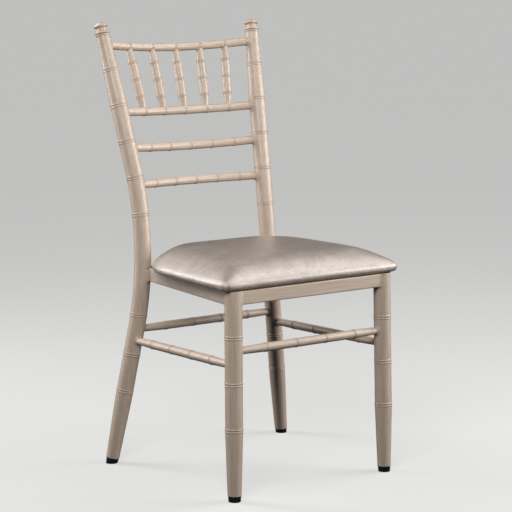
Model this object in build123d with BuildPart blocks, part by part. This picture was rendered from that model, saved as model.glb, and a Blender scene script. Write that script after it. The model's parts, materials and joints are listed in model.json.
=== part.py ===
from build123d import *
from math import sqrt
import os

# Banquet chair with a bamboo-ringed tube frame and an upholstered seat pad.
# The floor is Z = 0, the sitter faces -Y, and the origin is under the middle of the chair.

# Overall size, mm
total_height = 920.0
wall = 1.5
bar_wall = 1.2

# Front legs: straight tubes that lean a little, foot forward and outward
leg_radius = 17.5
leg_foot = (191.8, -236.0)
leg_top = (187.8, -227.0)
leg_rings = (142.0, 232.5, 324.5)

# Back posts: one bent tube each, given by its foot, the corner of its bend and its top
post_radius = 17.5
post_foot = (224.9, 157.5)
post_corner = (152.0, 110.9, 457.0)
post_top = (195.1, 231.6)
post_bend_radius = 796.0
post_rings = (155.5, 233.0, 316.5, 524.5, 600.0, 674.0, 748.0, 821.5)

# Tapered ends of the tubes
foot_radius = 13.8
foot_taper_height = 132.0
foot_lip = 1.6
shoulder_height = 768.0
shoulder_end_height = 866.0
post_end_radius = 14.4

# Glides under the feet
glide_height = 10.5
glide_radius = 13.0
glide_foot_radius = 12.2
glide_straight = 2.0
glide_stem = 14.0
glide_overrun = 4.0

# Finials on the posts, measured along the post
finial_height = 31.5
finial_stem = 16.0
neck_radius = 10.7
mushroom_radius = 14.9
collar_radius = 15.9
bead = 2.0
bead_low = 3.1
bead_high = 7.6
neck_low = 13.4
neck_high = 16.6
head_low = 19.8
dome_low = 23.6
plug_gap = 0.05

# Rings: pairs of half-round ridges
ring_pitch = 5.0
ring_proud = 0.8
ring_ridge = 2.4
small_ring_pitch = 3.6
small_ring_proud = 0.7
small_ring_ridge = 1.4

# Seat frame of flat-sided tube
rail_top = 416.0
rail_height = 28.0
rail_width = 25.0
side_rail_front_x = 190.5
side_rail_rear_x = 149.5
rear_rail_y = 123.7

# Back rails: height of each where it meets the posts, how far its bow sinks, and its rings
back_rail_radius = 8.7
back_rail_bow = 23.2
crest_height = 873.0
crest_sag = 10.0
upper_height = 735.0
upper_sag = 5.2
middle_height = 661.5
middle_sag = 6.0
lower_height = 585.0
lower_sag = 1.5
crest_ring_pitch = 62.0
rail_ring_pitch = 54.6

# Spindles between the crest rail and the upper back rail
spindle_radius = 9.0
spindle_end_radius = 5.4
spindle_ring_places = (0.25, 0.51, 0.77)
spindle_cut_reach = 12.0
spindle_gap = 0.05

# Stretchers
stretcher_radius = 8.75
stretcher_end_radius = 7.0
stretcher_front_height = 296.5
stretcher_rear_height = 285.5
stretcher_side_front_height = 269.0
stretcher_side_rear_height = 262.5
stretcher_ring_places = (0.205, 0.402, 0.598, 0.795)

# Corner plates and the screws that hold the pad
plate_thickness = 3.0
plate_leg = 62.0
screw_inset = 20.0
screw_radius = 3.0
screw_hole_radius = 3.3
screw_head_radius = 5.4
screw_head_height = 3.0
screw_length = 14.0
nut_barrel_radius = 4.0
nut_barrel_height = 8.0
nut_flange_radius = 9.5
nut_flange_height = 1.2

# Seat pad: outline at its widest height, edge and crown
pad_front_half = 223.3
pad_rear_half = 198.0
pad_front_y = -245.5
pad_rear_y = 131.0
pad_front_corner = 15.0
pad_rear_corner = 136.5
front_corner_growth = -0.1
rear_corner_growth = -1.0
pad_bottom = 416.5
pad_edge_height = 430.0
shoulder_rise = 35.0
shoulder_width = 54.0
shoulder_power = 1.35
dome_rise = 1.2
dome_width = 180.0
dome_power = 2.0
lower_sections = ((6.0, 0.0), (3.2, 1.6), (1.5, 4.0), (0.4, 8.0))
crown_insets = (0.0, 1.0, 2.5, 5.0, 9.0, 14.0, 20.0, 27.0, 35.0, 44.0, 54.0, 80.0, 120.0)
dust_cloth = 0.5
dust_cloth_inset = 20.0
cover_thickness = 1.0
cover_hem = 32.0
foam_gap = 0.1
board_thickness = 10.0
board_inset = 10.0

os.makedirs("parts", exist_ok=True)


def keep(piece, name):
    """Label a finished piece and write it to its own file."""
    piece.label = name
    export_step(piece, f"parts/{name}.step")


def mirrored(point, sign):
    """The same point on the left (-1) or the right (+1) of the chair."""
    return Vector(sign * point[0], point[1], point[2])


def plane_along(start, direction):
    """A plane that holds a tube's axis as its local X."""
    sideways = direction.cross(Vector(0, 0, 1))
    if sideways.length < 0.1 * direction.length:
        sideways = direction.cross(Vector(0, 1, 0))
    return Plane(origin=start, x_dir=direction, z_dir=sideways)


def turned(start, end, outline):
    """A solid turned about the line from start to end; the outline gives (distance, radius)."""
    direction = (end - start).normalized()
    points = [(outline[0][0], 0)] + list(outline) + [(outline[-1][0], 0)]
    with BuildPart() as solid:
        with BuildSketch(plane_along(start, direction)):
            with BuildLine():
                Polyline(*points, close=True)
            make_face()
        revolve(axis=Axis(start, direction))
    return solid.part


def ring_at(point, direction, radius, pitch, proud, ridge):
    """Two half-round ridges round a tube, at a point on its axis."""
    with BuildSketch(plane_along(point, direction)) as ridges:
        with Locations((-pitch / 2, radius + proud - ridge), (pitch / 2, radius + proud - ridge)):
            Circle(ridge)
    revolve(ridges.sketch, axis=Axis(point, direction))


# Shapes of the two kinds of upright, which the rails are cut to meet

def leg_axis(sign):
    """Foot and top of a front leg's axis."""
    return mirrored((*leg_foot, 0), sign), mirrored((*leg_top, rail_top), sign)


def leg_point(sign, height):
    """The point of a front leg's axis at a height."""
    foot, top = leg_axis(sign)
    return foot + (top - foot) * (height / rail_top)


def leg_body(sign, inset):
    """A front leg's outside drawn in by the inset, which gives its bore."""
    foot, top = leg_axis(sign)
    length = (top - foot).length
    outline = [
        (glide_height, foot_radius - foot_lip - inset),
        (glide_height + foot_lip, foot_radius - inset),
        (foot_taper_height, leg_radius - inset),
        (length, leg_radius - inset),
    ]
    if inset > 0:
        outline = [(glide_height, foot_radius - foot_lip - inset)] + outline[2:]
    return turned(foot, top, outline)


def post_ends(sign):
    """Foot, bend corner and top of a back post's axis."""
    foot = mirrored((*post_foot, 0), sign)
    corner = mirrored(post_corner, sign)
    top = mirrored((*post_top, total_height), sign)
    return foot, corner, top


def post_curve(sign):
    """A back post's axis: two straight runs joined by one large arc."""
    with BuildLine() as axis:
        FilletPolyline(*post_ends(sign), radius=post_bend_radius)
    return axis.wires()[0]


post_curves = {sign: post_curve(sign) for sign in (-1, 1)}


def post_frame(sign, height):
    """Point and direction of a back post's axis at a height, found by halving."""
    curve = post_curves[sign]
    low, high = 0.0, 1.0
    for _ in range(40):
        middle = (low + high) / 2
        if curve.position_at(middle).Z < height:
            low = middle
        else:
            high = middle
    return curve.position_at(low), curve.tangent_at(low)


def post_body(sign, inset):
    """A back post's outside drawn in by the inset, which gives its bore."""
    foot, corner, top = post_ends(sign)
    rise = (corner - foot).normalized()
    lean = (top - corner).normalized()
    lower = turned(foot, corner, [
        (glide_height, foot_radius - foot_lip - inset),
        (glide_height + (foot_lip if inset == 0 else 0), foot_radius - inset),
        (foot_taper_height / rise.Z, post_radius - inset),
    ])
    end = (top - corner).length - finial_height
    from_corner = [(height - corner.Z) / lean.Z for height in (shoulder_height, shoulder_end_height)]
    upper = turned(corner, top, [
        (from_corner[0], post_radius - inset),
        (from_corner[1], post_end_radius - inset),
        (end, post_end_radius - inset),
    ])
    start = foot + rise * (foot_taper_height / rise.Z)
    finish = corner + lean * from_corner[0]
    with BuildPart() as body:
        with BuildLine() as axis:
            FilletPolyline(start, corner, finish, radius=post_bend_radius)
        with BuildSketch(Plane(origin=start, z_dir=rise)):
            Circle(post_radius - inset)
        sweep(path=axis.wires()[0])
        add(lower)
        add(upper)
    return body.part


legs = {sign: leg_body(sign, 0) for sign in (-1, 1)}
posts = {sign: post_body(sign, 0) for sign in (-1, 1)}
side_names = {-1: "left", 1: "right"}

# Front legs

for sign, side in side_names.items():
    with BuildPart() as front_leg:
        add(legs[sign])
        direction = leg_axis(sign)[1] - leg_axis(sign)[0]
        for height in leg_rings:
            ring_at(leg_point(sign, height), direction, leg_radius, ring_pitch, ring_proud, ring_ridge)
        add(leg_body(sign, wall), mode=Mode.SUBTRACT)
    keep(front_leg.part, f"front_leg_{side}")

# Back posts

for sign, side in side_names.items():
    with BuildPart() as back_post:
        add(posts[sign])
        for height in post_rings:
            point, direction = post_frame(sign, height)
            thinning = max(0.0, height - shoulder_height) / (shoulder_end_height - shoulder_height)
            radius = post_radius - thinning * (post_radius - post_end_radius)
            ring_at(point, direction, radius, ring_pitch, ring_proud, ring_ridge)
        add(post_body(sign, wall), mode=Mode.SUBTRACT)
    keep(back_post.part, f"back_post_{side}")

# Finials: a stem in the tube, a collar of two beads, a neck and a mushroom head

neck_top = (neck_high, neck_radius)
head_under = (head_low, mushroom_radius - 1.4)
head_side = ((head_low + dome_low) / 2, mushroom_radius)
dome_start = (dome_low, mushroom_radius - 0.8)

# centre of the head's dome, on the finial's axis, so that its tip is round
dome_depth = finial_height - dome_low
dome_centre = (finial_height ** 2 - dome_low ** 2 - dome_start[1] ** 2) / (2 * dome_depth)
dome_radius = finial_height - dome_centre
dome_middle = dome_low + dome_depth / 2
dome_side = (dome_middle, sqrt(dome_radius ** 2 - (dome_middle - dome_centre) ** 2))

for sign, side in side_names.items():
    corner, top = post_ends(sign)[1:]
    lean = (top - corner).normalized()
    seat = top - lean * finial_height
    with BuildPart() as finial:
        with BuildSketch(plane_along(seat, lean)):
            with BuildLine():
                Polyline((0, 0), (-finial_stem, 0), (-finial_stem, post_end_radius - wall - plug_gap),
                         (0, post_end_radius - wall - plug_gap), (0, post_end_radius),
                         (bead_low - bead, post_end_radius))
                ThreePointArc((bead_low - bead, post_end_radius), (bead_low, collar_radius - 0.3),
                              (bead_low + bead, post_end_radius))
                Line((bead_low + bead, post_end_radius), (bead_high - bead, post_end_radius))
                ThreePointArc((bead_high - bead, post_end_radius), (bead_high, collar_radius),
                              (bead_high + bead, post_end_radius))
                ThreePointArc((bead_high + bead, post_end_radius), (neck_low, neck_radius + 0.7), neck_top)
                ThreePointArc(neck_top, (head_low - 1.2, neck_radius + 0.8), head_under)
                ThreePointArc(head_under, head_side, dome_start)
                ThreePointArc(dome_start, dome_side, (finial_height, 0))
                Line((finial_height, 0), (0, 0))
            make_face()
        revolve(axis=Axis(seat, lean))
    keep(finial.part, f"finial_{side}")

# Glides: a cap under the tube with a stem in its bore, cut flat where it stands

plug_radius = foot_radius - foot_lip - wall - plug_gap
for place, axis_of in (("front", leg_axis), ("rear", post_ends)):
    for sign, side in side_names.items():
        foot, above = axis_of(sign)[:2]
        with BuildPart() as glide:
            add(turned(foot, above, [
                (-glide_overrun, glide_foot_radius),
                (glide_straight, glide_foot_radius),
                (glide_height, glide_radius),
            ]))
            add(turned(foot, above, [
                (glide_straight, plug_radius),
                (glide_height + glide_stem, plug_radius),
            ]))
            with Locations((foot.X, foot.Y, 0)):
                Box(4 * glide_radius, 4 * glide_radius, 4 * glide_overrun,
                    align=(Align.CENTER, Align.CENTER, Align.MAX), mode=Mode.SUBTRACT)
        keep(glide.part, f"glide_{place}_{side}")

# Bowed back rails, each an arc behind the posts

# name: height at the posts, sag of the bow, spacing of the rings
back_rails = {
    "crest_rail": (crest_height, crest_sag, crest_ring_pitch),
    "back_rail_upper": (upper_height, upper_sag, rail_ring_pitch),
    "back_rail_middle": (middle_height, middle_sag, rail_ring_pitch),
    "back_rail_lower": (lower_height, lower_sag, rail_ring_pitch),
}


def back_rail_point(height, sag, x):
    """A point of a back rail's axis: a circular bow from post to post, back and down."""
    end = post_frame(1, height)[0]
    bow = Vector(0, back_rail_bow, -sag)
    bow_radius = (end.X ** 2 + bow.length ** 2) / (2 * bow.length)
    depth = sqrt(bow_radius ** 2 - x ** 2) - (bow_radius - bow.length)
    return Vector(x, end.Y, end.Z) + bow.normalized() * depth


def back_rail_direction(height, sag, x):
    """The direction of a back rail's axis at x."""
    return back_rail_point(height, sag, x + 0.5) - back_rail_point(height, sag, x - 0.5)


def bowed_tube(height, sag, radius):
    """A round bar swept along a back rail's bow."""
    reach = post_frame(1, height)[0].X
    left, middle, right = [back_rail_point(height, sag, x) for x in (-reach, 0, reach)]
    with BuildPart() as bar:
        with BuildLine():
            bow = ThreePointArc(left, middle, right)
        with BuildSketch(Plane(origin=left, z_dir=bow.tangent_at(0))):
            Circle(radius)
        sweep(path=bow)
    return bar.part


for name, (height, sag, pitch) in back_rails.items():
    with BuildPart() as back_rail:
        add(bowed_tube(height, sag, back_rail_radius))
        for step in (-2, -1, 0, 1, 2):
            point = back_rail_point(height, sag, step * pitch)
            direction = back_rail_direction(height, sag, step * pitch)
            ring_at(point, direction, back_rail_radius, small_ring_pitch, small_ring_proud, small_ring_ridge)
        add(bowed_tube(height, sag, back_rail_radius - bar_wall), mode=Mode.SUBTRACT)
        for post in posts.values():
            add(post, mode=Mode.SUBTRACT)
    keep(back_rail.part, name)

# Spindles: swelling bars with three rings, cut to meet the rails they stand between

def tapered_outline(length, rings, radius, end_radius):
    """Full radius between the outer rings, tapering beyond them to both ends."""
    return [(0, end_radius), (rings[0] * length, radius), (rings[-1] * length, radius), (length, end_radius)]


# the rail and its pair of ridges, as the tool that hollows a spindle's ends sees them
cut_radius = back_rail_radius + spindle_gap
ridge_radius = cut_radius + small_ring_proud
spindle_cut = [(0, cut_radius)]
for centre in (spindle_cut_reach - small_ring_pitch / 2, spindle_cut_reach + small_ring_pitch / 2):
    spindle_cut += [(centre - small_ring_ridge, cut_radius), (centre - small_ring_ridge / 2, ridge_radius),
                    (centre + small_ring_ridge / 2, ridge_radius), (centre + small_ring_ridge, cut_radius)]
spindle_cut.append((2 * spindle_cut_reach, cut_radius))

for number in range(1, 6):
    ends = []
    for rail in ("back_rail_upper", "crest_rail"):
        height, sag, pitch = back_rails[rail]
        x = (number - 3) * pitch
        ends.append((back_rail_point(height, sag, x), back_rail_direction(height, sag, x).normalized()))
    low, high = ends[0][0], ends[1][0]
    length = (high - low).length
    places = [1 - place for place in reversed(spindle_ring_places)]
    with BuildPart() as spindle:
        add(turned(low, high, tapered_outline(length, places, spindle_radius, spindle_end_radius)))
        for place in places:
            ring_at(low + (high - low) * place, high - low, spindle_radius,
                    small_ring_pitch, small_ring_proud, small_ring_ridge)
        add(turned(low, high, tapered_outline(length, places, spindle_radius - bar_wall,
                                              spindle_end_radius - bar_wall)), mode=Mode.SUBTRACT)
        for end, along in ends:
            across = along * spindle_cut_reach
            add(turned(end - across, end + across, spindle_cut), mode=Mode.SUBTRACT)
    keep(spindle.part, f"spindle_{number}")

# Stretchers between the legs

def make_stretcher(name, start, end, uprights):
    """A ringed bar from one upright's axis to another's, cut to meet their outsides."""
    length = (end - start).length
    with BuildPart() as stretcher:
        add(turned(start, end, tapered_outline(length, stretcher_ring_places,
                                               stretcher_radius, stretcher_end_radius)))
        for place in stretcher_ring_places:
            ring_at(start + (end - start) * place, end - start, stretcher_radius,
                    small_ring_pitch, small_ring_proud, small_ring_ridge)
        add(turned(start, end, tapered_outline(length, stretcher_ring_places, stretcher_radius - bar_wall,
                                               stretcher_end_radius - bar_wall)), mode=Mode.SUBTRACT)
        for upright in uprights:
            add(upright, mode=Mode.SUBTRACT)
    keep(stretcher.part, name)


make_stretcher("stretcher_front", leg_point(-1, stretcher_front_height),
               leg_point(1, stretcher_front_height), legs.values())
make_stretcher("stretcher_rear", post_frame(-1, stretcher_rear_height)[0],
               post_frame(1, stretcher_rear_height)[0], posts.values())
for sign, side in side_names.items():
    make_stretcher(f"stretcher_{side}", post_frame(sign, stretcher_side_rear_height)[0],
                   leg_point(sign, stretcher_side_front_height), (legs[sign], posts[sign]))

# Seat frame: four rectangular tubes butted to the legs, the posts and each other

def rail_block(start, end, inset, overrun=0.0):
    """A straight block of the rail's section between two points at the rail's mid height."""
    direction = (end - start).normalized()
    start = start - direction * overrun
    end = end + direction * overrun
    with BuildPart() as block:
        with BuildSketch(Plane(origin=start, x_dir=Vector(0, 0, 1), z_dir=direction)):
            RectangleRounded(rail_height - 2 * inset, rail_width - 2 * inset, 3.0 - inset)
        extrude(amount=(end - start).length)
    return block.part


rail_middle = rail_top - rail_height / 2
front_ends = [leg_point(sign, rail_middle) for sign in (-1, 1)]
rear_ends = [Vector(sign * side_rail_rear_x, rear_rail_y, rail_middle) for sign in (-1, 1)]
rear_posts_reach = post_frame(1, rail_middle)[0].X
rear_blank = rail_block(Vector(-rear_posts_reach, rear_rail_y, rail_middle),
                        Vector(rear_posts_reach, rear_rail_y, rail_middle), 0)

with BuildPart() as seat_rail_front:
    add(rail_block(*front_ends, 0))
    add(rail_block(*front_ends, wall, overrun=1.0), mode=Mode.SUBTRACT)
    for leg in legs.values():
        add(leg, mode=Mode.SUBTRACT)
keep(seat_rail_front.part, "seat_rail_front")

with BuildPart() as seat_rail_rear:
    add(rear_blank)
    add(rail_block(Vector(-rear_posts_reach, rear_rail_y, rail_middle),
                   Vector(rear_posts_reach, rear_rail_y, rail_middle), wall, overrun=1.0),
        mode=Mode.SUBTRACT)
    for post in posts.values():
        add(post, mode=Mode.SUBTRACT)
keep(seat_rail_rear.part, "seat_rail_rear")

side_blanks = {}
for sign, side in side_names.items():
    start = Vector(sign * side_rail_front_x, leg_point(sign, rail_middle).Y, rail_middle)
    end = Vector(sign * side_rail_rear_x, rear_rail_y, rail_middle)
    side_blanks[sign] = rail_block(start, end, 0)
    with BuildPart() as seat_rail_side:
        add(side_blanks[sign])
        add(rail_block(start, end, wall, overrun=1.0), mode=Mode.SUBTRACT)
        with Locations((0, rear_rail_y, rail_middle)):
            Box(2 * rear_posts_reach, rail_width, 2 * rail_height, mode=Mode.SUBTRACT)
        add(legs[sign], mode=Mode.SUBTRACT)
        add(posts[sign], mode=Mode.SUBTRACT)
        add(rail_block(*front_ends, 0), mode=Mode.SUBTRACT)
    keep(seat_rail_side.part, f"seat_rail_{side}")

# Corner plates, flush with the tops of the rails, each with a hole for a screw

corners = []
for sign, side in side_names.items():
    front = Vector(sign * side_rail_front_x, leg_point(sign, rail_middle).Y, 0)
    rear = Vector(sign * side_rail_rear_x, rear_rail_y, 0)
    inward = Vector(-sign, 0, 0)
    corners.append((f"front_{side}", front, inward, (rear - front).normalized()))
    corners.append((f"rear_{side}", rear, inward, (front - rear).normalized()))

screw_reach = rail_width / 2 + screw_inset
screw_places = [corner + (along + inward) * screw_reach for _, corner, inward, along in corners]
plate_reach = plate_leg + rail_width

for name, corner, inward, along in corners:
    ends = [corner, corner + inward * plate_reach, corner + along * plate_reach]
    with BuildPart() as corner_plate:
        with BuildSketch(Plane.XY.offset(rail_top - plate_thickness)):
            with BuildLine():
                Polyline(*[(end.X, end.Y) for end in ends], close=True)
            make_face()
            place = corner + (along + inward) * screw_reach
            with Locations((place.X, place.Y)):
                Circle(screw_hole_radius, mode=Mode.SUBTRACT)
        extrude(amount=plate_thickness)
        for blank in (rear_blank, rail_block(*front_ends, 0), *side_blanks.values()):
            add(blank, mode=Mode.SUBTRACT)
        for upright in (*legs.values(), *posts.values()):
            add(upright, mode=Mode.SUBTRACT)
    keep(corner_plate.part, f"corner_plate_{name}")

# Seat pad: the outline and crown that the board, foam, cover and dust cloth share

def pad_outline(inset):
    """The pad's outline drawn in by the inset, a trapezoid with rounded corners."""
    slant = (pad_front_half - pad_rear_half) / (pad_rear_y - pad_front_y)
    side_inset = inset * sqrt(1 + slant ** 2)
    front_half = pad_front_half - slant * inset - side_inset
    rear_half = pad_rear_half + slant * inset - side_inset
    front_y = pad_front_y + inset
    rear_y = pad_rear_y - inset
    with BuildSketch(mode=Mode.PRIVATE) as outline:
        with BuildLine():
            Polyline((-front_half, front_y), (front_half, front_y),
                     (rear_half, rear_y), (-rear_half, rear_y), close=True)
        make_face()
        fillet(outline.vertices().group_by(Axis.Y)[0], pad_front_corner + front_corner_growth * inset)
        fillet(outline.vertices().group_by(Axis.Y)[-1], pad_rear_corner + rear_corner_growth * inset)
    return outline.sketch


def crown_height(inset):
    """Height of the pad's top at a distance in from its edge: a shoulder and a dome."""
    shoulder = 1 - max(0.0, 1 - inset / shoulder_width) ** shoulder_power
    dome = 1 - max(0.0, 1 - inset / dome_width) ** dome_power
    return pad_edge_height + shoulder_rise * shoulder ** (1 / shoulder_power) + dome_rise * dome


def pad_solid(skin):
    """The pad's crowned form with a skin of the given thickness taken off all over."""
    sections = [(inset + skin, pad_bottom + max(rise, skin)) for inset, rise in lower_sections]
    for inset in crown_insets:
        share = min(1.0, inset / shoulder_width)
        sections.append((inset + skin * (1 - share), crown_height(inset) - skin * share))
    with BuildPart() as solid:
        for inset, height in sections:
            with BuildSketch(Plane.XY.offset(height)):
                add(pad_outline(inset))
        loft(ruled=True)
    return solid.part


def pad_slab(inset, bottom, thickness):
    """A flat slab with the pad's outline drawn in."""
    with BuildPart() as slab:
        with BuildSketch(Plane.XY.offset(bottom)):
            add(pad_outline(inset))
        extrude(amount=thickness)
    return slab.part


def screw_posts(radius, bottom, height):
    """One upright cylinder on each screw's place."""
    with BuildPart() as cylinders:
        with Locations(*[(place.X, place.Y, bottom) for place in screw_places]):
            Cylinder(radius, height, align=(Align.CENTER, Align.CENTER, Align.MIN))
    return cylinders.part


board_bottom = pad_bottom + cover_thickness
board_top = board_bottom + board_thickness
screw_top = rail_top - plate_thickness + screw_length

with BuildPart() as seat_board:
    add(pad_slab(board_inset, board_bottom, board_thickness))
    add(screw_posts(nut_barrel_radius + plug_gap, board_bottom, board_thickness), mode=Mode.SUBTRACT)
    add(screw_posts(nut_flange_radius + plug_gap, board_top - nut_flange_height, nut_flange_height),
        mode=Mode.SUBTRACT)
keep(seat_board.part, "seat_board")

with BuildPart() as seat_foam:
    add(pad_solid(cover_thickness + foam_gap))
    split(bisect_by=Plane.XY.offset(board_top), keep=Keep.TOP)
keep(seat_foam.part, "seat_foam")

with BuildPart() as seat_cover:
    add(pad_solid(0))
    add(pad_solid(cover_thickness), mode=Mode.SUBTRACT)
    add(pad_slab(lower_sections[0][0] + cover_hem, pad_bottom, cover_thickness), mode=Mode.SUBTRACT)
    add(screw_posts(nut_barrel_radius, pad_bottom, cover_thickness), mode=Mode.SUBTRACT)
keep(seat_cover.part, "seat_cover")

with BuildPart() as dust_cover:
    add(pad_slab(dust_cloth_inset, rail_top, dust_cloth))
    add(screw_posts(nut_barrel_radius, rail_top, dust_cloth), mode=Mode.SUBTRACT)
keep(dust_cover.part, "dust_cover")

# Seat screws and the tee nuts that they turn into

with BuildPart() as seat_screws:
    add(screw_posts(screw_head_radius, rail_top - plate_thickness - screw_head_height, screw_head_height))
    add(screw_posts(screw_radius, rail_top - plate_thickness, screw_length))
keep(seat_screws.part, "seat_screws")

with BuildPart() as tee_nuts:
    add(screw_posts(nut_flange_radius, board_top - nut_flange_height, nut_flange_height))
    add(screw_posts(nut_barrel_radius, board_top - nut_flange_height - nut_barrel_height, nut_barrel_height))
    add(screw_posts(screw_radius + plug_gap, board_bottom, board_thickness), mode=Mode.SUBTRACT)
keep(tee_nuts.part, "tee_nuts")
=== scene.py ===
# %% [markdown]
# A banquet chair in Blender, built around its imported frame.
# The real chair is painted tube: straight front legs, back posts bent in one long curve, bars with
# pairs of rings like bamboo, and a pad of pearl leatherette on a plywood board.
# The tubes arrive finished from the frame. What is soft, smooth or hand-made is added here: the pad,
# the dust cloth under it and the weld fillets, and each surface gets its finish.

# %% Load the frame
import json
import math
import bpy
import bmesh
import numpy as np
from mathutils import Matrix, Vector


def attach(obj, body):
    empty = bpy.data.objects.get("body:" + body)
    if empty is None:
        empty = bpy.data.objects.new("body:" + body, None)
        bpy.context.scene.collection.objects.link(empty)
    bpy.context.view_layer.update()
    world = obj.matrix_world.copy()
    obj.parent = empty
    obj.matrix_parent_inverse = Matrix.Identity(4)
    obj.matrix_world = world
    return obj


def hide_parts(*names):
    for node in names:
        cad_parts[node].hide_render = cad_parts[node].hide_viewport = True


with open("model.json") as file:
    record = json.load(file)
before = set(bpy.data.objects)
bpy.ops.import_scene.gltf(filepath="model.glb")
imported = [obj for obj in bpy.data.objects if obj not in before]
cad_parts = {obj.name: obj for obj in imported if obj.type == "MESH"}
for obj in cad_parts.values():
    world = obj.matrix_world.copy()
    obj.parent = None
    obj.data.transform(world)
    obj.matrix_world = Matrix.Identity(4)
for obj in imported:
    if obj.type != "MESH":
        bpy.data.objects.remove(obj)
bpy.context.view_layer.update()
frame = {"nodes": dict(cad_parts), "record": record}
nodes = frame["nodes"]
print(len(nodes), "nodes in the frame")

# %% [markdown]
# Every new piece here is a surface worked out with numpy: a grid of points, row by row. One helper
# turns such a grid into a mesh. It could be done with a loop over faces, but arrays of corner numbers
# are shorter and quicker, and the same few lines serve every piece.

# %% A grid of points becomes a mesh
def grid_faces(rows, columns, closed_rows, closed_columns):
    """Quads between neighbouring rows and columns; a closed direction joins its last line to its first."""
    row = np.arange(rows if closed_rows else rows - 1)[:, None]
    column = np.arange(columns if closed_columns else columns - 1)[None, :]
    next_row = (row + 1) % rows
    next_column = (column + 1) % columns
    corners = [row * columns + column, row * columns + next_column,
               next_row * columns + next_column, next_row * columns + column]
    return np.stack([np.broadcast_to(c, (row.size, column.size)) for c in corners], -1).reshape(-1, 4)


def piece_from_points(name, points, faces, smooth=True):
    """A mesh object from points and faces, with doubles merged and its normals turned outwards."""
    mesh = bpy.data.meshes.new(name)
    mesh.from_pydata(points.reshape(-1, 3).tolist(), [], faces.tolist())
    shape = bmesh.new()
    shape.from_mesh(mesh)
    bmesh.ops.remove_doubles(shape, verts=shape.verts, dist=1e-6)
    bmesh.ops.recalc_face_normals(shape, faces=shape.faces)
    shape.to_mesh(mesh)
    shape.free()
    mesh.polygons.foreach_set("use_smooth", np.full(len(mesh.polygons), smooth))
    piece = bpy.data.objects.new(name, mesh)
    bpy.context.scene.collection.objects.link(piece)
    print(name, len(mesh.polygons), "faces")
    return piece


# %% [markdown]
# The finish of the frame is a champagne-beige paint with a satin shine. Close up it has faint streaks
# along each tube, left by brushing before the lacquer. The streaks are noise stretched along the tube,
# so uprights, cross bars and side bars each get the same paint with the stretch turned their way.
# Painted shade darkens the colour where shade falls: in the grooves beside the rings and in the
# corners of the joints. An Ambient Occlusion node finds those places from the shape itself, whatever
# the view, by looking 4 mm around each point.

# %% Material helpers
def new_material(name):
    """An empty node material and its shader."""
    material = bpy.data.materials.new(name)
    material.use_nodes = True
    return material, material.node_tree.nodes["Principled BSDF"]


def add_node(material, kind, **values):
    """One node with its inputs and settings filled in by name."""
    node = material.node_tree.nodes.new(kind)
    for key, value in values.items():
        if hasattr(node, key):
            setattr(node, key, value)
        else:
            node.inputs[key.replace("_", " ")].default_value = value
    return node


def link(material, source, target):
    material.node_tree.links.new(source, target)


def scaled_position(material, scale):
    """The piece's own coordinates, stretched by a scale along each axis."""
    place = add_node(material, "ShaderNodeTexCoord")
    mapping = add_node(material, "ShaderNodeMapping")
    mapping.inputs["Scale"].default_value = scale
    link(material, place.outputs["Object"], mapping.inputs["Vector"])
    return mapping.outputs["Vector"]


def colour_ramp(material, factor, stops):
    """A ramp from a grey value to a colour, given as (position, linear colour)."""
    ramp = add_node(material, "ShaderNodeValToRGB")
    elements = ramp.color_ramp.elements
    while len(elements) < len(stops):
        elements.new(0.5)
    for element, (position, colour) in zip(elements, stops):
        element.position = position
        element.color = (*colour, 1.0)
    link(material, factor, ramp.inputs["Fac"])
    return ramp.outputs["Color"]


def noise(material, stretch, **values):
    """The grey output of a noise texture on the piece's own coordinates, stretched along each axis."""
    texture = add_node(material, "ShaderNodeTexNoise", **values)
    link(material, scaled_position(material, stretch), texture.inputs["Vector"])
    return texture.outputs["Fac"]


def value_range(material, factor, low, high):
    """A grey value moved from 0..1 to low..high."""
    spread = add_node(material, "ShaderNodeMapRange")
    spread.inputs["To Min"].default_value = low
    spread.inputs["To Max"].default_value = high
    link(material, factor, spread.inputs["Value"])
    return spread.outputs["Result"]


def linear(red, green, blue):
    """A screen colour from 0 to 255 as the linear colour that a shader takes."""
    share = np.array([red, green, blue]) / 255
    return tuple(np.where(share <= 0.04045, share / 12.92, ((share + 0.055) / 1.055) ** 2.4))


# %% Frame paint
paint_light = linear(206, 188, 171)
paint_dark = linear(188, 168, 150)
paint_mottle = linear(244, 238, 232)
# painted shade: the dark brown that the grooves and joint corners turn towards
painted_shade_colour = linear(96, 76, 62)
shade_reach = 0.004
shade_ramp = {"From Min": 0.60, "From Max": 0.94, "To Min": 0.85, "To Max": 0.0}
as_made = (1, 1, 1)
mottle_stretch = (28, 28, 28)


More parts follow.
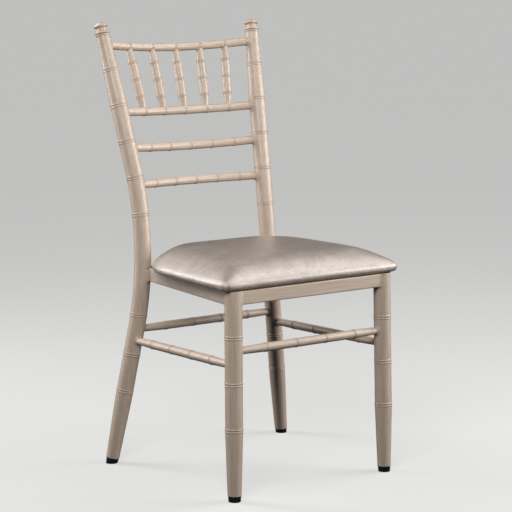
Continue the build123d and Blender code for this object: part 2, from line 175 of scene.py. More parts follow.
def frame_paint(name, stretch):
    """Satin beige lacquer: stretched noise tints it, and painted shade darkens the shut-in places."""
    material, shader = new_material(name)
    streak = noise(material, stretch, Scale=1.0, Detail=4.0, Roughness=0.6)
    mottle = noise(material, mottle_stretch, Scale=1.0, Detail=2.0)
    tint = colour_ramp(material, streak, [(0.34, paint_dark), (0.66, paint_light)])
    blend = add_node(material, "ShaderNodeMix", data_type="RGBA", blend_type="MULTIPLY")
    link(material, value_range(material, mottle, 0.05, 0.35), blend.inputs["Factor"])
    link(material, tint, blend.inputs["A"])
    blend.inputs["B"].default_value = (*paint_mottle, 1.0)
    # painted shade: the colour darkens where the Ambient Occlusion node finds the surface shut in
    occlusion = add_node(material, "ShaderNodeAmbientOcclusion", samples=12, Distance=shade_reach)
    shade_amount = add_node(material, "ShaderNodeMapRange")
    for socket, value in shade_ramp.items():
        shade_amount.inputs[socket].default_value = value
    link(material, occlusion.outputs["AO"], shade_amount.inputs["Value"])
    shaded = add_node(material, "ShaderNodeMix", data_type="RGBA")
    link(material, shade_amount.outputs["Result"], shaded.inputs["Factor"])
    link(material, blend.outputs["Result"], shaded.inputs["A"])
    shaded.inputs["B"].default_value = (*painted_shade_colour, 1.0)
    link(material, shaded.outputs["Result"], shader.inputs["Base Color"])
    link(material, value_range(material, mottle, 0.44, 0.56), shader.inputs["Roughness"])
    bump = add_node(material, "ShaderNodeBump", Strength=0.25, Distance=0.0001)
    link(material, streak, bump.inputs["Height"])
    link(material, bump.outputs["Normal"], shader.inputs["Normal"])
    shader.inputs["Coat Weight"].default_value = 0.40
    shader.inputs["Coat Roughness"].default_value = 0.32
    shader.inputs["Specular IOR Level"].default_value = 0.5
    return material


# stretch is the number of noise cells in a metre: many across a tube, few along it
fine = 420.0
long = 14.0
paint_upright = frame_paint("frame_paint_upright", (fine, fine, long))
paint_across = frame_paint("frame_paint_across", (long, fine, fine))
paint_side = frame_paint("frame_paint_side", (fine, long, fine))
print("paints:", paint_upright.name, paint_across.name, paint_side.name)

# %% [markdown]
# The pad is covered in pearl leatherette: a plastic skin with a metal pigment in it, pressed with a
# fine pebbled grain. Voronoi cells give the grain its flat tops and thin creases, darkened by painted
# shade, and a second, larger noise breaks up the shine the way the skin's uneven stretch does. A part
# of metal in the shader gives the soft silvery glow that plain plastic doesn't have.

# %% Leatherette
pearl_dark, pearl_light = linear(186, 171, 157), linear(214, 202, 190)
painted_crease_shade = linear(120, 98, 84)
crease_wander = 0.0012
grain_cells = 400.0
grain_depth, cloud_depth = 0.0005, 0.0006


def leatherette():
    """Pearl skin: crackled grain of 2.5 mm cells in the bump and as painted shade in its creases, a cloudy
    sheen and a metallic share.
    """
    material, shader = new_material("pearl_leatherette")
    position = scaled_position(material, as_made)
    warp = add_node(material, "ShaderNodeTexNoise", Scale=260.0, Detail=2.0)
    link(material, position, warp.inputs["Vector"])
    shift = add_node(material, "ShaderNodeVectorMath", operation="MULTIPLY_ADD")
    link(material, warp.outputs["Color"], shift.inputs[0])
    shift.inputs[1].default_value = (crease_wander, crease_wander, crease_wander)
    link(material, position, shift.inputs[2])
    cells = add_node(material, "ShaderNodeTexVoronoi", feature="DISTANCE_TO_EDGE", Scale=grain_cells)
    link(material, shift.outputs["Vector"], cells.inputs["Vector"])
    tops = add_node(material, "ShaderNodeMapRange", interpolation_type="SMOOTHSTEP")
    tops.inputs["From Max"].default_value = 0.22
    link(material, cells.outputs["Distance"], tops.inputs["Value"])
    cloud = noise(material, as_made, Scale=38.0, Detail=5.0, Roughness=0.65)
    pearl = colour_ramp(material, cloud, [(0.32, pearl_dark), (0.70, pearl_light)])
    # painted shade: the colour darkens towards a brown in the grain's creases
    crease_shaded = add_node(material, "ShaderNodeMix", data_type="RGBA", blend_type="MULTIPLY")
    link(material, value_range(material, tops.outputs["Result"], 0.55, 0.0), crease_shaded.inputs["Factor"])
    link(material, pearl, crease_shaded.inputs["A"])
    crease_shaded.inputs["B"].default_value = (*painted_crease_shade, 1.0)
    link(material, crease_shaded.outputs["Result"], shader.inputs["Base Color"])
    link(material, value_range(material, cloud, 0.30, 0.46), shader.inputs["Roughness"])
    grain = add_node(material, "ShaderNodeBump", Strength=0.6, Distance=grain_depth)
    link(material, tops.outputs["Result"], grain.inputs["Height"])
    cloudy = add_node(material, "ShaderNodeBump", Strength=0.5, Distance=cloud_depth)
    link(material, cloud, cloudy.inputs["Height"])
    link(material, grain.outputs["Normal"], cloudy.inputs["Normal"])
    link(material, cloudy.outputs["Normal"], shader.inputs["Normal"])
    shader.inputs["Metallic"].default_value = 0.42
    shader.inputs["Specular IOR Level"].default_value = 1.0
    shader.inputs["Coat Weight"].default_value = 1.0
    shader.inputs["Coat IOR"].default_value = 1.75
    shader.inputs["Coat Roughness"].default_value = 0.42
    shader.inputs["Sheen Weight"].default_value = 0.05
    shader.inputs["Sheen Roughness"].default_value = 0.4
    return material


pearl_leatherette = leatherette()
print("pad finish:", pearl_leatherette.name, "with grain cells of", 1000 / grain_cells, "mm")

# %% [markdown]
# The other finishes are seen from below or close to the floor: black moulded plastic with a slight
# mottle for the glides, zinc-plated steel for the screws and nuts, layered plywood for the board, and
# black non-woven cloth, whose fibres are noise stretched two ways.

# %% Glide plastic, zinc, plywood and dust cloth
def glide_plastic():
    """Nearly black moulded plastic, scuffed by a fine noise."""
    material, shader = new_material("glide_plastic")
    scuff = noise(material, as_made, Scale=300.0, Detail=4.0)
    black = colour_ramp(material, scuff, [(0.35, linear(18, 18, 20)), (0.8, linear(52, 52, 56))])
    link(material, black, shader.inputs["Base Color"])
    link(material, value_range(material, scuff, 0.16, 0.34), shader.inputs["Roughness"])
    return material


def zinc_steel():
    """Zinc plate: a metal with fine grain in its roughness."""
    material, shader = new_material("zinc_steel")
    grain = noise(material, (1, 1, 0.2), Scale=900.0, Detail=3.0)
    silver = colour_ramp(material, grain, [(0.3, linear(168, 170, 172)), (0.7, linear(206, 207, 205))])
    link(material, silver, shader.inputs["Base Color"])
    link(material, value_range(material, grain, 0.25, 0.42), shader.inputs["Roughness"])
    shader.inputs["Metallic"].default_value = 1.0
    return material


def board_plywood():
    """Plywood: stretched noise for the face grain and waves along Z for the plies."""
    material, shader = new_material("plywood")
    grain = noise(material, (14, 240, 240), Scale=1.0, Detail=5.0)
    plies = add_node(material, "ShaderNodeTexWave", Scale=1.0, Distortion=0.6)
    plies.bands_direction = "Z"
    link(material, scaled_position(material, (6, 6, 160)), plies.inputs["Vector"])
    mixed = add_node(material, "ShaderNodeMix", data_type="FLOAT")
    mixed.inputs["Factor"].default_value = 0.35
    link(material, grain, mixed.inputs["A"])
    link(material, plies.outputs["Fac"], mixed.inputs["B"])
    birch = colour_ramp(material, mixed.outputs["Result"],
                        [(0.25, linear(150, 112, 72)), (0.75, linear(206, 172, 128))])
    link(material, birch, shader.inputs["Base Color"])
    shader.inputs["Roughness"].default_value = 0.7
    return material


def black_nonwoven():
    """Black non-woven cloth: two stretched noises crossed into a felt of fibres."""
    material, shader = new_material("black_nonwoven")
    fibres = add_node(material, "ShaderNodeMath", operation="MAXIMUM")
    for place, stretch in enumerate([(1500, 160, 400), (160, 1500, 400)]):
        link(material, noise(material, stretch, Scale=1.0, Detail=3.0), fibres.inputs[place])
    black = colour_ramp(material, fibres.outputs["Value"],
                        [(0.45, linear(16, 16, 17)), (0.75, linear(58, 58, 60))])
    link(material, black, shader.inputs["Base Color"])
    bump = add_node(material, "ShaderNodeBump", Strength=0.6, Distance=0.0002)
    link(material, fibres.outputs["Value"], bump.inputs["Height"])
    link(material, bump.outputs["Normal"], shader.inputs["Normal"])
    shader.inputs["Roughness"].default_value = 0.92
    return material


def seat_foam_finish():
    """Cream foam with fine open cells."""
    material, shader = new_material("cream_foam")
    cells = add_node(material, "ShaderNodeTexVoronoi", Scale=900.0)
    link(material, scaled_position(material, as_made), cells.inputs["Vector"])
    cream = colour_ramp(material, cells.outputs["Distance"],
                        [(0.1, linear(206, 196, 160)), (0.7, linear(236, 230, 204))])
    link(material, cream, shader.inputs["Base Color"])
    shader.inputs["Roughness"].default_value = 0.95
    return material


# %% Give each node of the frame its finish
finishes = {
    "glide_plastic": glide_plastic(),
    "steel": zinc_steel(),
    "plywood": board_plywood(),
    "dust_cloth": black_nonwoven(),
    "foam": seat_foam_finish(),
    "seat_leatherette": pearl_leatherette,
}
slot_of = {row["node"]: row["material_slot"] for row in frame["record"]["subparts"]}


def paint_for(name):
    """The paint whose streaks run along this piece."""
    if name.startswith(("front_leg", "back_post", "finial", "spindle")):
        return paint_upright
    if name in ("stretcher_left", "stretcher_right", "seat_rail_left", "seat_rail_right"):
        return paint_side
    return paint_across


for name, node in nodes.items():
    finish = finishes.get(slot_of[name]) or paint_for(name)
    node.data.materials.clear()
    node.data.materials.append(finish)
print("finished", sorted({node.data.materials[0].name for node in nodes.values()}))

# %% [markdown]
# Every joint of the real frame is welded and ground, so the tubes flow into each other through a small
# hollow fillet. In CAD the bars simply stop at the tube. The fillet is a collar: its section is a
# quarter of a circle, carried round the bar, and each point is pushed along the bar until it lies on
# the tube, so the collar follows the saddle where a round bar meets a round tube.

# %% Weld fillets
arc_steps = 8
round_steps = 40
tuck = 0.0006


def collar_section(width):
    """Distances out from the bar and up from the tube: a hollow quarter circle, closed inside the walls."""
    turn = np.linspace(0, np.pi / 2, arc_steps)[:, None]
    out = width * (1 - np.sin(turn))
    up = width * (1 - np.cos(turn))
    inner = np.full((1, width.size), -tuck)
    return (np.concatenate([out, inner, inner, width[None]]),
            np.concatenate([up, width[None], inner, inner]))


def weld_collar(outline, outward, centre, along, host_point, host_along, host_radius, width):
    """Points of a collar: each point of the bar's outline moves outward, then along the bar to the tube.

    The distance t along the bar is the larger root of |p + a t| = R: p is the point and a the bar's
    direction, both taken square to the tube, and R is the tube's radius."""
    out, up = collar_section(width)
    start = centre + outline[None] + outward[None] * out[..., None]
    apart = start - host_point
    flat = apart - (apart @ host_along)[..., None] * host_along
    slope = along - (along @ host_along) * host_along
    square = slope @ slope
    cross = flat @ slope
    inside = cross ** 2 - square * ((flat ** 2).sum(-1) - host_radius ** 2)
    reach = (-cross + np.sqrt(np.maximum(inside, 0))) / square
    return start + along * (reach + up)[..., None]


def round_outline(along, host_along, radius):
    """A circle square to the bar, with its outward directions."""
    first = host_along - (host_along @ along) * along
    first = first / np.linalg.norm(first)
    second = np.cross(along, first)
    turn = np.linspace(0, 2 * np.pi, round_steps, endpoint=False)[:, None]
    outward = first * np.cos(turn) + second * np.sin(turn)
    return outward * radius, outward


def unit(vector):
    """The vector's direction, one long."""
    vector = np.asarray(vector, float)
    return vector / np.linalg.norm(vector)


# %% [markdown]
# The collars need the axes of the tubes. They are the same few real sizes that the frame was made from:
# each leg is a straight line, and each back post is two straight runs joined by one large arc.

# %% Axes of the legs and posts
post_foot = np.array([0.2249, 0.1575, 0.0])
post_corner = np.array([0.1520, 0.1109, 0.4570])
post_top = np.array([0.1951, 0.2316, 0.9200])
post_bend = 0.796
post_bend_steps = 400
leg_foot = np.array([0.1918, -0.2360, 0.0])
leg_top = np.array([0.1878, -0.2270, 0.4160])
tube_radius = 0.0175
thin_radius = 0.0144
thinning_heights = 0.768, 0.866


def leg_at(height):
    """Point and direction of the right front leg's axis at a height."""
    direction = unit(leg_top - leg_foot)
    return leg_foot + (leg_top - leg_foot) * height / leg_top[2], direction


def post_at(height):
    """Point and direction of the right back post's axis: a line, an arc tangent to both lines, a line."""
    lower = unit(post_corner - post_foot)
    upper = unit(post_top - post_corner)
    half_turn = math.acos(lower @ upper) / 2
    tangent = post_bend * math.tan(half_turn)
    start = post_corner - lower * tangent
    end = post_corner + upper * tangent
    if height <= start[2]:
        return post_foot + lower * height / lower[2], lower
    if height >= end[2]:
        return post_corner + upper * (height - post_corner[2]) / upper[2], upper
    toward = unit(upper - lower)
    centre = post_corner + toward * post_bend / math.cos(half_turn)
    turns = np.linspace(0, 2 * half_turn, post_bend_steps)[:, None]
    inward = unit(start - centre)
    points = centre + post_bend * (inward * np.cos(turns) + lower * np.sin(turns))
    near = np.abs(points[:, 2] - height).argmin()
    return points[near], unit(np.cos(turns[near]) * lower - np.sin(turns[near]) * inward)


def post_radius_at(height):
    """Radius of a back post: 17.5 mm, thinning to 14.4 mm between 768 and 866 mm."""
    return float(np.interp(height, thinning_heights, [tube_radius, thin_radius]))


rail_middle = 0.402
print("post axis at the seat:", np.round(post_at(rail_middle)[0], 4))

# %% Collars on the stretchers and back rails
mirror = np.array([-1.0, 1.0, 1.0])
collar_grids = []


def add_collar(centre, along, host_along, host_radius, bar_radius, width):
    """One collar and its mirror image on the other side of the chair."""
    outline, outward = round_outline(along, host_along, bar_radius)
    widths = np.full(len(outline), width)
    grid = weld_collar(outline, outward, centre, along, centre, host_along, host_radius, widths)
    collar_grids.append(grid)
    collar_grids.append(grid * mirror)


front_height, rear_height = 0.2965, 0.2855
side_front_height, side_rear_height = 0.2690, 0.2625
stretcher_end = 0.0074
weld_width = 0.0042

to_middle = np.array([-1.0, 0, 0])
leg, leg_along = leg_at(front_height)
add_collar(leg, to_middle, leg_along, tube_radius, stretcher_end, weld_width)
post, post_along = post_at(rear_height)
add_collar(post, to_middle, post_along, tube_radius, stretcher_end, weld_width)
leg, leg_along = leg_at(side_front_height)
post, post_along = post_at(side_rear_height)
add_collar(leg, unit(post - leg), leg_along, tube_radius, stretcher_end, weld_width)
add_collar(post, unit(leg - post), post_along, tube_radius, stretcher_end, weld_width)

back_rail_radius = 0.0087
bow_depth = 0.0232
rail_step = 0.02

# each back rail's height at the posts, and how far its middle hangs below that
back_rails = {"crest": (0.8730, 0.0100), "upper": (0.7350, 0.0052),
              "middle": (0.6615, 0.0060), "lower": (0.5850, 0.0015)}


def bow_point(height, sag, x):
    """A point on a back rail's axis: a circular arc from post to post, bowed backwards and down."""
    end = post_at(height)[0]
    bow = np.array([0, bow_depth, -sag])
    size = np.linalg.norm(bow)
    radius = (end[0] ** 2 + size ** 2) / (2 * size)
    depth = math.sqrt(radius ** 2 - x ** 2) - (radius - size)
    return np.array([x, end[1], end[2]]) + bow / size * depth


for height, sag in back_rails.values():
    post, post_along = post_at(height)
    inward = unit(bow_point(height, sag, post[0] - rail_step) - bow_point(height, sag, post[0]))
    add_collar(post, inward, post_along, post_radius_at(height), back_rail_radius, weld_width)
print(len(collar_grids), "collars on stretchers and back rails")

# %% Collars on the spindles
spindle_end = 0.0063
spindle_width = 0.0020
crest_pitch, upper_pitch = 0.0620, 0.0546
short_step = 0.001
for step in (0, 1, 2):
    low = bow_point(*back_rails["upper"], step * upper_pitch)
    high = bow_point(*back_rails["crest"], step * crest_pitch)
    low_along = unit(bow_point(*back_rails["upper"], step * upper_pitch + short_step) - low)
    high_along = unit(bow_point(*back_rails["crest"], step * crest_pitch + short_step) - high)
    add_collar(low, unit(high - low), low_along, back_rail_radius, spindle_end, spindle_width)
    add_collar(high, unit(low - high), high_along, back_rail_radius, spindle_end, spindle_width)
    # the middle spindle is its own mirror image, so its two mirrored collars go again
    if step == 0:
        del collar_grids[-3::2]
print(len(collar_grids), "round collars in all")


# %% [markdown]
# The rails under the pad are flat-sided, and some of them meet their tube off its middle. Their welds
# use the same collar round a rounded rectangle. Its width fades out along the top, where the pad lies,
# and wherever the outline passes beside the tube.

# %% Welds of the seat rails
rail_half_width, rail_half_height, rail_corner = 0.0125, 0.0140, 0.0030
rail_weld, rail_weld_large, least_weld = 0.0042, 0.0065, 0.0002
bare_from, bare_to = 0.0070, 0.0105
tube_share = 0.97
corner_steps, side_steps = 6, 8
side_rail_x_front, side_rail_x_rear, rear_rail_y = 0.1905, 0.1495, 0.1237
flat_grids = []


def flat_outline(along):
    """A rounded rectangle square to the bar, quarter by quarter: an arc and then the side that follows."""
    sideways = unit(np.cross(along, [0, 0, 1]))
    upwards = np.cross(sideways, along)
    places, normals = [], []
    for quarter in range(4):
        turn = np.linspace(0, np.pi / 2, corner_steps)[:, None] + quarter * np.pi / 2
        middle = turn[0, 0] + np.pi / 4
        corner = np.array([np.sign(np.cos(middle)) * (rail_half_width - rail_corner),
                           np.sign(np.sin(middle)) * (rail_half_height - rail_corner)])
        normal = np.hstack([np.cos(turn), np.sin(turn)])
        arc = corner + rail_corner * normal
        side = 2 * (rail_half_width - rail_corner if quarter % 2 == 0 else rail_half_height - rail_corner)
        ahead = np.array([-normal[-1, 1], normal[-1, 0]])
        places += [arc, arc[-1] + ahead * side * np.linspace(0, 1, side_steps + 2)[1:-1, None]]
        normals += [normal, np.broadcast_to(normal[-1], (side_steps, 2))]
    frame_axes = np.stack([sideways, upwards])
    return np.concatenate(places) @ frame_axes, np.concatenate(normals) @ frame_axes


def add_flat_collar(centre, along, host_point, host_along, width):
    """A weld between a flat-sided rail and a tube, and its mirror image.

    Its width is cut to what is left of the tube beside each point, and fades out near the rail's top."""
    outline, outward = flat_outline(along)
    across = unit(np.cross(host_along, along))
    beside = np.abs((centre + outline - host_point) @ across)
    room = np.clip(tube_share * tube_radius - beside, 0, width)
    bare = np.clip((bare_to - outline[:, 2]) / (bare_to - bare_from), 0, 1)
    widths = np.maximum(room * bare, least_weld)
    grid = weld_collar(outline, outward, centre, along, host_point, host_along, tube_radius, widths)
    flat_grids.append(grid)
    flat_grids.append(grid * mirror)


leg, leg_along = leg_at(rail_middle)
post, post_along = post_at(rail_middle)
side_front = np.array([side_rail_x_front, leg[1], rail_middle])
side_rear = np.array([side_rail_x_rear, rear_rail_y, rail_middle])
to_rear = unit(side_rear - side_front)
rear_meeting = np.array([post[0], rear_rail_y, rail_middle])
add_flat_collar(leg, to_middle, leg, leg_along, rail_weld)
add_flat_collar(rear_meeting, to_middle, post, post_along, rail_weld)
add_flat_collar(side_front, to_rear, leg, leg_along, rail_weld)
side_meeting = side_rear - to_rear * ((side_rear - post) @ to_rear)
add_flat_collar(side_meeting, -to_rear, post, post_along, rail_weld_large)


def collars_piece(name, grids):
    """All collars as one mesh: each grid is closed round the bar and round its section."""
    rows, columns = grids[0].shape[:2]
    faces = grid_faces(rows, columns, True, True)
    every = np.concatenate([faces + number * rows * columns for number in range(len(grids))])
    return piece_from_points(name, np.stack(grids), every)


welds = collars_piece("weld_fillets", collar_grids)
welds.data.materials.append(paint_across)
rail_welds = collars_piece("rail_weld_fillets", flat_grids)
rail_welds.data.materials.append(paint_across)
for piece in (welds, rail_welds):
    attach(piece, "root")

# %% [markdown]
# The pad starts as a closed form that follows the board: a trapezoid with small corners in front and
# large ones behind. Its height depends only on how far a point is from the edge, so the sides rise in
# a full shoulder and the middle is nearly flat. A smooth minimum of the distances to the sides gives
# the front corners their soft ridges. A box with a bevel would look like a brick beside this.

# %% The pad's form
pad_front_half, pad_rear_half = 0.2233, 0.1980
pad_front, pad_rear = -0.2455, 0.1310
front_corner, rear_corner = 0.0150, 0.1365
pad_bottom, pad_edge = 0.4168, 0.4300
shoulder_rise, shoulder_width, shoulder_power = 0.0350, 0.0540, 1.35
dome_rise, dome_width, dome_power = 0.0012, 0.1800, 2.0
ridge_softness, ridge_start = 0.0050, 0.0200
pad_columns, pad_rows, base_rows = 320, 90, 30
row_crowding = 1.35
search_limit, halvings = 0.4, 40
pad_middle = (pad_front + pad_rear) / 2


def edge_distance(x, y):
    """How far inside the pad's outline a point is: the nearest side, or the nearest corner's arc."""
    run = pad_rear - pad_front
    narrowing = pad_front_half - pad_rear_half
    side_length = math.hypot(run, narrowing)
    side = ((pad_front_half - np.abs(x)) * run - (y - pad_front) * narrowing) / side_length
    front = y - pad_front
    rear = pad_rear - y
    distance = np.minimum(side, np.minimum(front, rear))
    for end, radius in ((front, front_corner), (rear, rear_corner)):
        along, across = radius - end, radius - side
        arc = radius - np.hypot(along, across)
        distance = np.where((along > 0) & (across > 0), np.minimum(distance, arc), distance)
    apart = np.abs(side - front) / ridge_softness
    softened = distance - ridge_softness * np.log1p(np.exp(-apart))
    share = np.clip(distance / ridge_start, 0, 1)
    return np.where(front < rear, distance + (softened - distance) * share, distance)


def crown(distance):
    """Height of the pad's top: a shoulder and a dome, both powers of the distance from the edge."""
    edge = 1 - np.clip(distance / shoulder_width, 0, 1)
    dome = 1 - np.clip(distance / dome_width, 0, 1)
    shoulder = (1 - edge ** shoulder_power) ** (1 / shoulder_power)
    return pad_edge + shoulder_rise * shoulder + dome_rise * (1 - dome ** dome_power)


def outline_radius(angle):
    """Distance from the pad's middle to its outline along each direction, found by halving."""
    near, far = np.zeros_like(angle), np.full_like(angle, search_limit)
    for _ in range(halvings):
        middle = (near + far) / 2
        inside = edge_distance(middle * np.cos(angle), middle * np.sin(angle) + pad_middle) > 0
        near, far = np.where(inside, middle, near), np.where(inside, far, middle)
    return near


# rows of the top run from the outline to the middle, closer together near the shoulder
around = np.linspace(0, 2 * np.pi, pad_columns, endpoint=False)
reach = outline_radius(around)
shares = 1 - np.linspace(0, 1, pad_rows) ** row_crowding
top_x = shares[:, None] * reach * np.cos(around)
top_y = shares[:, None] * reach * np.sin(around) + pad_middle
top = np.stack([top_x, top_y, crown(edge_distance(top_x, top_y))], -1)

# the side below the widest line turns under, then the bottom runs flat to the middle
tuck_in = np.array([0.0004, 0.0016, 0.0034, 0.0066])
tuck_height = np.array([0.4250, 0.4208, 0.4184, pad_bottom])
under_reach = reach - tuck_in[:, None]
under = np.stack([under_reach * np.cos(around), under_reach * np.sin(around) + pad_middle,
                  np.broadcast_to(tuck_height[:, None], under_reach.shape)], -1)
base_reach = np.linspace(0.97, 0, base_rows)[:, None] * under_reach[-1]
base = np.stack([base_reach * np.cos(around), base_reach * np.sin(around) + pad_middle,
                 np.full(base_reach.shape, pad_bottom)], -1)
pad_grid = np.concatenate([base[::-1], under[::-1], top])
cushion = piece_from_points("seat_cushion", pad_grid,
                            grid_faces(pad_grid.shape[0], pad_grid.shape[1], False, True))

# %% [markdown]
# Real leatherette is pulled over the foam and stapled below. Blender's cloth finds those small
# bulges and pulls better than a formula: the form is remeshed evenly, blown up with a little pressure
# and held at its stapled rim. The moves are averaged with their neighbours' until only the broad
# bulges are left, because the skin is tight, and none is longer than 3 mm, so the pad keeps its size.
# The same averaging, on the places themselves, then eases the line where the shoulder meets the top.

# %% Let the cover settle
voxel = 0.005
settle_frames = 20
settle_cap = 0.0030
stapled_below = 0.4200
smoothing_rounds = 60
ease_rounds = 30
ease_from, ease_full = 0.436, 0.452


def neighbour_mean(values, pairs):
    """Each point's value averaged with those of the points that an edge joins it to."""
    first, second = pairs.T
    total = values.copy()
    np.add.at(total, first, values[second])
    np.add.at(total, second, values[first])
    count = 1 + np.bincount(pairs.ravel(), minlength=len(values))
    return total / count[:, None]


def settle(piece):
    """Cloth with pressure and no gravity for 20 frames; moves are capped and the result is kept."""
    remesh = piece.modifiers.new("even", "REMESH")
    remesh.mode = "VOXEL"
    remesh.voxel_size = voxel
    bpy.context.view_layer.update()
    even = bpy.data.meshes.new_from_object(piece.evaluated_get(bpy.context.evaluated_depsgraph_get()))
    piece.modifiers.clear()
    piece.data = even
    start = np.empty(len(even.vertices) * 3)
    even.vertices.foreach_get("co", start)
    start = start.reshape(-1, 3)
    held = piece.vertex_groups.new(name="stapled")
    held.add(np.nonzero(start[:, 2] < stapled_below)[0].tolist(), 1.0, "REPLACE")
    cloth = piece.modifiers.new("cloth", "CLOTH")
    cloth.settings.quality = 6
    cloth.settings.mass = 0.4
    cloth.settings.tension_stiffness = 22
    cloth.settings.compression_stiffness = 22
    cloth.settings.shear_stiffness = 12
    cloth.settings.bending_stiffness = 4
    cloth.settings.use_pressure = True
    cloth.settings.uniform_pressure_force = 4.0
    cloth.settings.vertex_group_mass = "stapled"
    cloth.settings.effector_weights.gravity = 0.0
    cloth.collision_settings.use_collision = False
    for number in range(1, settle_frames + 1):
        bpy.context.scene.frame_set(number)
    settled = piece.evaluated_get(bpy.context.evaluated_depsgraph_get()).data
    end = np.empty(len(settled.vertices) * 3)
    settled.vertices.foreach_get("co", end)
    move = end.reshape(-1, 3) - start
    pairs = np.empty(len(even.edges) * 2, np.int32)
    even.edges.foreach_get("vertices", pairs)
    pairs = pairs.reshape(-1, 2)
    for _ in range(smoothing_rounds):
        move = neighbour_mean(move, pairs)
    length = np.linalg.norm(move, axis=1, keepdims=True)
    move = move * (settle_cap * np.tanh(length / settle_cap) / np.maximum(length, 1e-9))
    place = start + move
    top_share = np.clip((place[:, 2:] - ease_from) / (ease_full - ease_from), 0, 1)
    for _ in range(ease_rounds):
        place = place + (neighbour_mean(place, pairs) - place) * top_share
    piece.modifiers.clear()
    bpy.context.scene.frame_set(1)
    even.vertices.foreach_set("co", place.ravel())
    even.update()
    print("the cover moved by up to", round(float(np.linalg.norm(move, axis=1).max()) * 1000, 2), "mm")


settle(cushion)
smooth = cushion.modifiers.new("fine", "SUBSURF")
smooth.levels = smooth.render_levels = 1
cushion.data.polygons.foreach_set("use_smooth", np.full(len(cushion.data.polygons), True))
cushion.data.materials.clear()
cushion.data.materials.append(pearl_leatherette)
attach(cushion, "root")
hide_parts("seat_cover", "seat_foam")
print("the pad is", round((pad_rear - pad_front) * 1000), "mm deep and",
      round(2 * pad_front_half * 1000), "mm wide in front")

# %% [markdown]
# Under the board a black dust cloth is stapled flat. It is one thin sheet, pulled tight, so a flat fan of
# rows is enough: only a few slow ripples, which fade out at the staples, tell it from a painted board.

# %% Dust cloth
cloth_inset = 0.020
cloth_height = 0.41625
cloth_rows = 40
ripple_height = 0.00012
ripples_across, ripples_along, ripple_bend = 60, 40, 2.0


def dust_cloth():
    """The pad's outline drawn in by 20 mm, at the height of the rails' tops, with ripples of 0.1 mm.

    A ripple is a sine across the chair, bent by a sine along it, and zero at the rim and in the middle."""
    share = np.linspace(1, 0, cloth_rows)[:, None]
    out = share * (reach - cloth_inset)
    x, y = out * np.cos(around), out * np.sin(around) + pad_middle
    wave = np.sin(ripples_across * x + ripple_bend * np.sin(ripples_along * y))
    ripple = ripple_height * wave * np.sin(np.pi * share) ** 2
    grid = np.stack([x, y, cloth_height + ripple], -1)
    return piece_from_points("dust_cloth", grid, grid_faces(grid.shape[0], grid.shape[1], False, True))


cloth = dust_cloth()
cloth.data.materials.append(finishes["dust_cloth"])
thick = cloth.modifiers.new("thick", "SOLIDIFY")
thick.thickness = 0.0004
thick.offset = 0.0
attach(cloth, "root")
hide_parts("dust_cover")

# %% [markdown]
# The stage is a wide pale floor that glows a little, so that it stays evenly pale far out. It is hidden
# from the rays that light the chair: a floor that bright would fill every shadow on the tubes. The
# lights are rectangles, as soft boxes are. A tall one stands behind on the left, two on the right, and a
# weaker one near the camera. They draw bright lines down both sides of each tube.

# %% Floor and lights
floor_half = 60.0
floor_dark, floor_light = (0.21, 0.21, 0.208), (0.24, 0.24, 0.238)
floor_glow = 0.52


def stage_floor():
    """A flat square of 120 m, pale and matt, with a faint glow that evens out the far parts."""
    grid = np.array([[[-floor_half, -floor_half, 0], [floor_half, -floor_half, 0]],
                     [[-floor_half, floor_half, 0], [floor_half, floor_half, 0]]])
    piece = piece_from_points("floor", grid, grid_faces(2, 2, False, False), smooth=False)
    material, shader = new_material("pale_floor")
    cloudy = noise(material, as_made, Scale=0.6, Detail=2.0)
    pale = colour_ramp(material, cloudy, [(0.3, floor_dark), (0.7, floor_light)])
    link(material, pale, shader.inputs["Base Color"])
    shader.inputs["Roughness"].default_value = 0.85
    shader.inputs["Specular IOR Level"].default_value = 0.1
    shader.inputs["Emission Color"].default_value = (1.0, 1.0, 0.99, 1.0)
    shader.inputs["Emission Strength"].default_value = floor_glow
    piece.data.materials.append(material)
    piece.visible_diffuse = False
    piece.visible_glossy = False


stage_floor()
chair_middle = Vector((0.0, 0.05, 0.60))


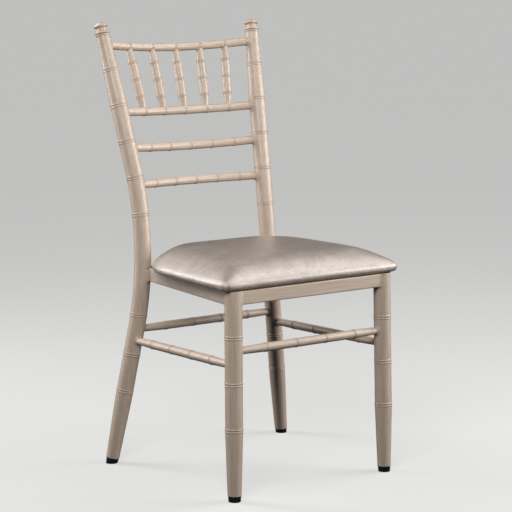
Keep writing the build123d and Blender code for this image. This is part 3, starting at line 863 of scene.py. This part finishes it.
def soft_light(name, azimuth, elevation, distance, size, power):
    """A rectangular area light, placed by its bearing from the chair and aimed at the chair."""
    lamp = bpy.data.lights.new(name, "AREA")
    lamp.shape = "RECTANGLE"
    lamp.size, lamp.size_y = size
    lamp.energy = power
    light = bpy.data.objects.new(name, lamp)
    bearing, height = math.radians(azimuth), math.radians(elevation)
    level = math.cos(height)
    away = Vector((level * math.cos(bearing), level * math.sin(bearing), math.sin(height)))
    light.location = chair_middle + away * distance
    light.rotation_euler = (-away).to_track_quat("-Z", "Y").to_euler()
    bpy.context.scene.collection.objects.link(light)
    return light


# name, bearing, height above the horizon, distance, width and height, watts
# bearings are counted from +X towards +Y; the camera stands at about 234 degrees
lamps = [("left", 128, 27, 1.9, (0.8, 2.4), 40), ("front_fill", 225, 30, 2.1, (0.9, 0.9), 30),
         ("right", 325, 12, 2.2, (1.2, 1.3), 44), ("right_high", 342, 55, 2.2, (0.6, 1.3), 17)]
for lamp in lamps:
    soft_light(*lamp)
print(len(lamps), "soft lights")

world = bpy.data.worlds.new("studio")
world.use_nodes = True
background = world.node_tree.nodes["Background"]
background.inputs["Color"].default_value = (0.96, 0.97, 1.0, 1.0)
background.inputs["Strength"].default_value = 0.02
bpy.context.scene.world = world
bpy.context.scene.view_settings.view_transform = "Standard"

# %% [markdown]
# The camera stands in front of the chair and to the left as one faces it, 1.03 m above the floor, and
# looks down by 8.6 degrees. Its place and lens were worked out from the chair's own
# symmetry: each ring on a left tube has its mirror image on the right.

# %% Camera
camera_place = Vector((-2.32432, -3.15961, 1.03407))
camera_azimuth = math.radians(-36.7685)
camera_pitch = math.radians(8.6278)
focal_pixels, image_pixels, sensor_width = 1910.2051, 512, 36.0

lens = bpy.data.cameras.new("camera")
lens.sensor_width = sensor_width
lens.lens = focal_pixels / image_pixels * sensor_width
lens.clip_end = 200.0
camera = bpy.data.objects.new("camera", lens)
camera.location = camera_place
camera.rotation_euler = (math.pi / 2 - camera_pitch, 0.0, camera_azimuth)
bpy.context.scene.collection.objects.link(camera)
bpy.context.scene.camera = camera
print("camera looks along", [round(v, 3) for v in camera.rotation_euler])
